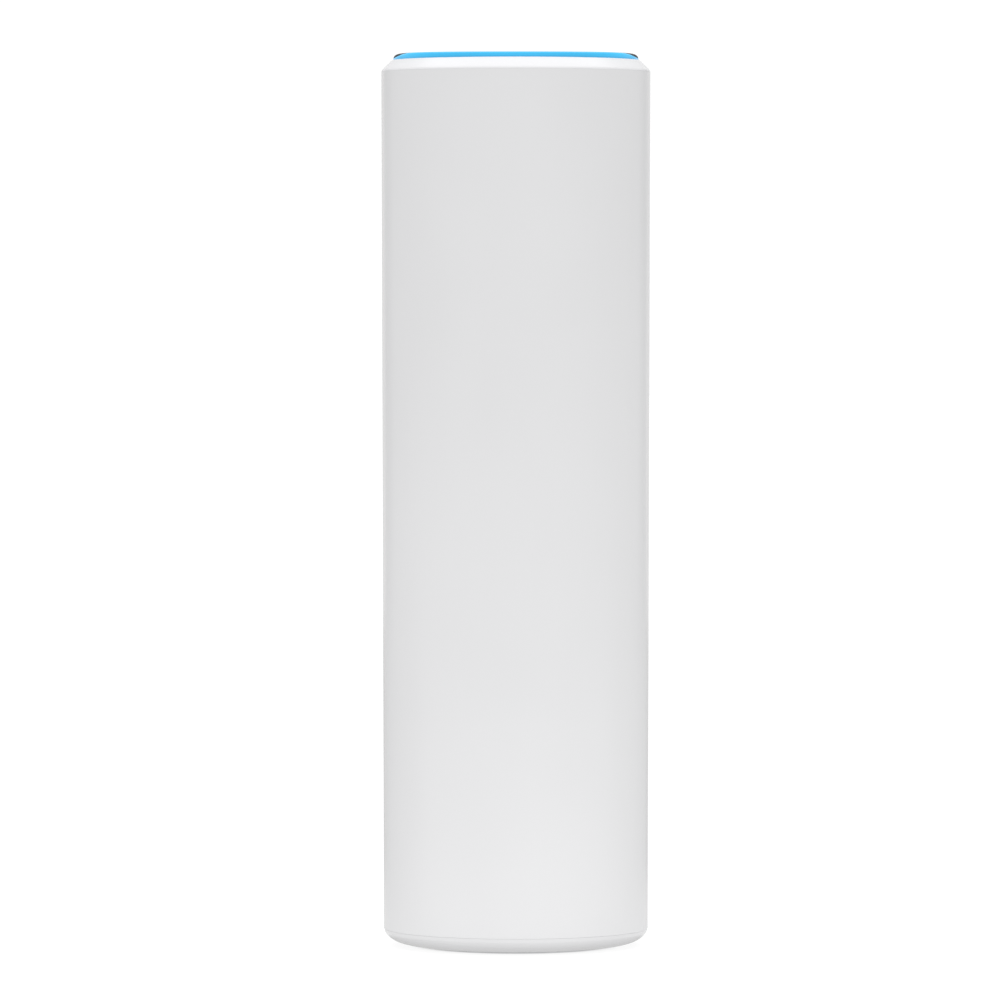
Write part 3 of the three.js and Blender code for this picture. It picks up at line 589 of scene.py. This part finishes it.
def make_shield():
    lip = lathe("shield_ring", rounded([
        (19.05, 159.04, 0.08), (20.5, 159.04, 0.08), (20.5, 159.88, 0.05), (21.14, 159.88, 0.04), (21.14, 159.98, 0.05), (20.3, 159.98, 0.07),
        (20.12, 159.90, 0.05), (20.12, 159.49, 0.08), (19.05, 159.49, 0.08),
    ], 4))
    # The two ears are painted shade: dark slivers in the rim's dips that stand in for the darkening at the lit ring's
    # two ends.
    join(lip, make_shade_ear(1))
    join(lip, make_shade_ear(-1))
    return lip


stand_for(make_shield(), SHIELD_AND_SHADE, "light_shield", "housing")


def make_disc():
    outline = [(0.0, 159.872), (6.0, 159.876), (12.0, 159.890), (16.0, 159.910), (18.4, 159.925)]
    outline += rounded([
        (18.4, 159.925, 0.0), (19.95, 159.96, 0.16), (19.95, 159.56, 0.08), (18.8, 159.54, 0.05), (18.8, 158.99, 0.05), (19.2, 158.89, 0.05),
        (19.2, 158.69, 0.05), (18.8, 158.4, 0.05), (18.8, 156.9, 0.1), (18.6, 156.6, 0.06), (17.8, 156.6, 0.1), (17.8, 159.49, 0.1), (0.0, 159.49, 0.0),
    ], 4)[1:]
    return lathe("disc_top", outline)


stand_for(make_disc(), DISC, "top_disc", "housing")


# ------------------------------------------------------------------ base: cup, cap, foot
def make_plate():
    zb, h = Z_BULKHEAD, TWIST_LUG / 2
    cup = lathe("bulkhead_cup", rounded([
        (0.0, zb, 0.0), (19.6, zb, 0.5), (19.6, 5.0, 0.25), (21.5, 5.0, 0.3), (21.5, 11.9, 0.1), (22.08, 12.2, 0.1), (22.08, 12.6, 0.1), (21.5, 12.9, 0.1),
        (21.5, zb - 0.2, 0.1), (20.7, zb - 0.2, 0.1), (20.7, zb + 1.0, 0.1), (21.6, zb + 1.0, 0.1), (21.6, zb + 2.1, 0.2), (0.0, zb + 2.1, 0.0),
    ], 4), turn=192)
    for k, a in enumerate((30, 150, 270)):
        join(cup, sector(f"lug_{k}", 18.85, 20.2, a - h, a + h, 5.1, 6.4))
    join(cup, sector("stop_a", 18.85, 20.2, 30 - h - 4, 30 - h - 1.2, 6.9, 8.4, 3))
    join(cup, sector("stop_b", 18.85, 20.2, 30 + TWIST_RANGE + h + 1.2, 30 + TWIST_RANGE + h + 4, 6.9, 8.4, 3))
    cut(cup, block("window", -8.4, 8.4, -7.3, 6.75, zb - 1, zb + 3.5, 0.5))
    holes = [((0.0, 9.9), 1.15)] + [(polar(17.9, a), 1.15) for a in (50, 130, 270)]
    for place, r in holes:
        cut(cup, lathe("bore", [(0.0, zb - 1), (r, zb - 1), (r, zb + 3.5), (0.0, zb + 3.5)], 32, place))
    return cup


stand_for(make_plate(), INNER_WHITE, "base_plate", "housing")


def make_cap():
    rs = sleeve_r(Z_SLEEVE_BOTTOM)
    top = Z_SLEEVE_BOTTOM - SEAM
    h = TWIST_LUG / 2
    # A near-upright band under the seam, a soft crease, then one long curve down to the flat.
    edge = [(rs - inward, z) for inward, z in ((5.35, 0.335), (4.7, 0.385), (4.05, 0.46), (3.4, 0.565), (2.75, 0.73), (2.12, 0.95), (1.62, 1.20),
                                               (1.2, 1.47), (0.88, 1.72), (0.62, 1.97), (0.42, 2.20), (0.30, 2.36), (0.235, 2.46), (0.20, 2.56), (0.165, 2.70))]
    before = rounded([
        (WELL_R, 2.2, 0.25), (WELL_R, CAP_FLAT, 0.45), (13.6, CAP_FLAT, 0.1), (13.6, 1.2, 0.05), (17.2, 1.2, 0.05), (17.2, CAP_FLAT, 0.1),
        (rs - CORNER_A, CAP_FLAT, 0.0),
    ], 5)
    after = rounded([
        (edge[-1][0], edge[-1][1], 0.0), (rs - 0.04, top, 0.05), (21.5, top, 0.12), (21.5, 4.7, 0.22), (20.6, 4.7, 0.22), (20.6, 2.2, 0.3),
        (18.55, 2.2, 0.2), (18.55, 8.2, 0.3), (17.4, 8.2, 0.3), (17.4, 2.2, 0.3), (WELL_R, 2.2, 0.0),
    ], 5)
    cap = lathe("cap_shell", before + edge + after[1:-1])
    for k, a in enumerate((30, 150, 270)):
        join(cap, sector(f"hook_{k}", 18.0, 19.3, a - h, a + h, 6.9, 8.1))
    cut(cap, block("notch", -NOTCH_HALF, NOTCH_HALF, 10, 26, -3, NOTCH_TOP, 0.6, 5))
    return cap


stand_for(make_cap(), SHELL, "base_cap", "base_cap_body")


def make_foot():
    foot = lathe("foot_pad", rounded([(FOOT_IN, 0.0, 0.22), (FOOT_OUT, 0.0, 0.22), (FOOT_OUT, 1.12, 0.1), (FOOT_IN, 1.12, 0.1)], 5), turn=240)
    return cut(foot, block("gap", -NOTCH_HALF - 0.4, NOTCH_HALF + 0.4, 10, 20, -2, 3, 0.2))


stand_for(make_foot(), RUBBER, "foot_ring", "base_cap_body")
stand_for(
    lathe("reset_cap", rounded([
        (0.0, 22.45, 0.0), (1.0, 22.45, 0.28), (1.0, 24.2, 0.05), (1.55, 24.2, 0.08), (1.55, 25.0, 0.08), (1.0, 25.0, 0.05), (1.0, 26.7, 0.12), (0.0, 26.7, 0.0),
    ], 4), 48, (0.0, 9.9)),
    BLACK, "reset_button", "reset_body",
)

# ------------------------------------------------------------------ carried frame nodes
CARRIED = {
    "ethernet_jack": BLACK, "jack_shell": TIN, "jack_contacts": GOLD, "reset_switch": BLACK, "switch_plunger": CONNECTOR,
    "top_seal": SEAL, "base_seal": SEAL, "led_board": LED_BOARD, "led_connector": CONNECTOR, "led_ribbon": CONNECTOR,
    "led_socket": CONNECTOR, "inner_frame": FRAME, "antenna_carrier": FRAME, "main_board": BOARD,
    "ethernet_transformer": CHIP, "power_transformer": FERRITE, "inductor": FERRITE, "capacitor_1": ALU, "capacitor_2": ALU,
    "shield_can_2g": TIN, "shield_can_5g": TIN, "soc_chip": CHIP, "radio_chip": CHIP, "thermal_pad_soc": PAD,
    "thermal_pad_radio": PAD, "heat_sink": ALU,
}
for k in range(1, 7):
    CARRIED[f"led_{k}"] = LED_BODY
for k in range(1, 4):
    CARRIED[f"base_screw_{k}"] = CARRIED[f"heat_sink_screw_{k}"] = STEEL
for n in ("2g_1", "2g_2", "5g_1", "5g_2", "5g_3", "5g_4"):
    CARRIED[f"antenna_{n}"] = COPPER
    CARRIED[f"coax_{n}"] = CABLE
for node, material in CARRIED.items():
    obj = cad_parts[node]
    dress(obj, material)
    weld = obj.modifiers.new("weld", "WELD")
    weld.merge_threshold = 0.000002
    bevel = obj.modifiers.new("edges", "BEVEL")
    bevel.width, bevel.segments, bevel.limit_method, bevel.angle_limit = 0.00008, 2, "ANGLE", math.radians(42)


# ------------------------------------------------------------------ floor, backdrop, light
def stage_material(name, rgb, strength, diffuse=None):
    n = Nodes(name)
    n.set(color=diffuse or (0.0, 0.0, 0.0), rough=0.9, spec=0.0, emit=rgb, emit_strength=strength)
    return n.mat


def stage_plane(name, size, z, material):
    bm = bmesh.new()
    bmesh.ops.create_grid(bm, x_segments=1, y_segments=1, size=size)
    bmesh.ops.translate(bm, verts=bm.verts, vec=(0, 0, z))
    mesh = bpy.data.meshes.new(name)
    bm.to_mesh(mesh)
    bm.free()
    obj = bpy.data.objects.new(name, mesh)
    scene.collection.objects.link(obj)
    mesh.materials.append(material)
    return obj


# The floor that shows is pale and nearly shadowless, except for a painted shadow right under the object where its glow
# is turned down; the glowing table top just under it lights the object from below, more from the front than the sides
# and less from right under the object.
def floor_painted_shadow_material():
    n = Nodes("floor_white_painted_shadow")
    x, y, z = n.split()
    r = n.math("SQRT", n.math("ADD", n.math("MULTIPLY", x, x), n.math("MULTIPLY", y, y)))
    # Painted shadow: the floor's glow falls from 0.86 to 0.12 within about 19.5 mm of the axis, under the object.
    n.set(color=(0.2, 0.2, 0.2), rough=0.9, spec=0.0, emit=(1.0, 1.0, 1.0), emit_strength=n.ramp(r, 0.0135, 0.0195, 0.12, 0.86, smooth=True))
    return n.mat


floor = stage_plane("floor", 7.0, 0.0, floor_painted_shadow_material())
floor.visible_diffuse = floor.visible_glossy = floor.visible_transmission = floor.visible_shadow = False
UNDER, EDGE, NEAR, FAR, FRONT_GAIN, BACK_GAIN = 0.60, 0.61, 0.93, 0.68, 1.3, 0.85


def table_material():
    n = Nodes("table_white")
    x, y, z = n.split()
    r = n.math("SQRT", n.math("ADD", n.math("MULTIPLY", x, x), n.math("MULTIPLY", y, y)))
    level = n.math("ADD", n.ramp(r, 0.0185, 0.0205, UNDER, EDGE, smooth=True), n.ramp(r, 0.0232, 0.0262, 0.0, NEAR - EDGE, smooth=True))
    level = n.math("ADD", level, n.ramp(r, 0.05, 0.25, 0.0, FAR - NEAR, smooth=True))
    level = n.math("MULTIPLY", level, n.ramp(y, -0.05, 0.0, FRONT_GAIN, 1.0, smooth=True))
    level = n.math("MULTIPLY", level, n.ramp(y, 0.0, 0.04, 1.0, BACK_GAIN, smooth=True))
    n.set(color=(0.0, 0.0, 0.0), rough=0.9, spec=0.0, emit=(1.0, 1.0, 1.0), emit_strength=level)
    return n.mat


table = stage_plane("table_top", 1.2, -0.00002, table_material())
table.visible_camera = False
bm = bmesh.new()
bmesh.ops.create_uvsphere(bm, u_segments=48, v_segments=24, radius=6.5)
mesh = bpy.data.meshes.new("backdrop")
bm.to_mesh(mesh)
bm.free()
backdrop = bpy.data.objects.new("backdrop", mesh)
scene.collection.objects.link(backdrop)
mesh.materials.append(stage_material("backdrop_white", (1, 1, 1), 1.06))
backdrop.visible_diffuse = backdrop.visible_glossy = backdrop.visible_transmission = backdrop.visible_shadow = False

world = bpy.data.worlds.new("studio")
scene.world = world
world.use_nodes = True
wt = world.node_tree
wt.nodes.clear()
w_out = wt.nodes.new("ShaderNodeOutputWorld")
w_bg = wt.nodes.new("ShaderNodeBackground")
wt.links.new(w_bg.outputs[0], w_out.inputs["Surface"])
w_co = wt.nodes.new("ShaderNodeTexCoord")
w_xyz = wt.nodes.new("ShaderNodeSeparateXYZ")
wt.links.new(w_co.outputs["Generated"], w_xyz.inputs[0])
wy, wz = w_xyz.outputs["Y"], w_xyz.outputs["Z"]


def w_range(value, lo, hi, a, b):
    node = wt.nodes.new("ShaderNodeMapRange")
    node.interpolation_type = "SMOOTHSTEP"
    wt.links.new(value, node.inputs["Value"])
    for key, v in (("From Min", lo), ("From Max", hi), ("To Min", a), ("To Max", b)):
        node.inputs[key].default_value = v
    return node.outputs["Result"]


def w_math(op, a, b):
    node = wt.nodes.new("ShaderNodeMath")
    node.operation = op
    for socket, v in ((node.inputs[0], a), (node.inputs[1], b)):
        if isinstance(v, (int, float)):
            socket.default_value = v
        else:
            wt.links.new(v, socket)
    return node.outputs[0]


# A soft box overhead, even light at the sides with a little more from the front, a dim panel each side of the back, and a
# paler middle behind.
OVERHEAD, SIDES, FRONT, PANEL, BACK = 1.66, 0.715, 0.81, 0.52, 0.78
low = w_range(wz, 0.12, 0.34, 1.0, 0.0)
level = w_math("ADD", w_range(wz, 0.62, 0.80, 0.0, OVERHEAD - SIDES), SIDES)
level = w_math("ADD", level, w_math("MULTIPLY", w_range(wy, -1.0, -0.3, FRONT - SIDES, 0.0), w_range(wz, 0.50, 0.75, 1.0, 0.0)))
panel = w_math("MULTIPLY", w_range(wy, 0.69, 0.72, 0.0, PANEL - SIDES), w_range(wy, 0.86, 0.93, 1.0, 0.0))
level = w_math("ADD", level, w_math("MULTIPLY", panel, low))
level = w_math("ADD", level, w_math("MULTIPLY", w_range(wy, 0.86, 0.93, 0.0, BACK - SIDES), low))
wt.links.new(level, w_bg.inputs["Strength"])
w_bg.inputs["Color"].default_value = (1.0, 1.0, 1.0, 1.0)

scene.view_settings.view_transform = "Standard"
scene.view_settings.look = "None"
scene.view_settings.exposure = 0.0
scene.view_settings.gamma = 1.0
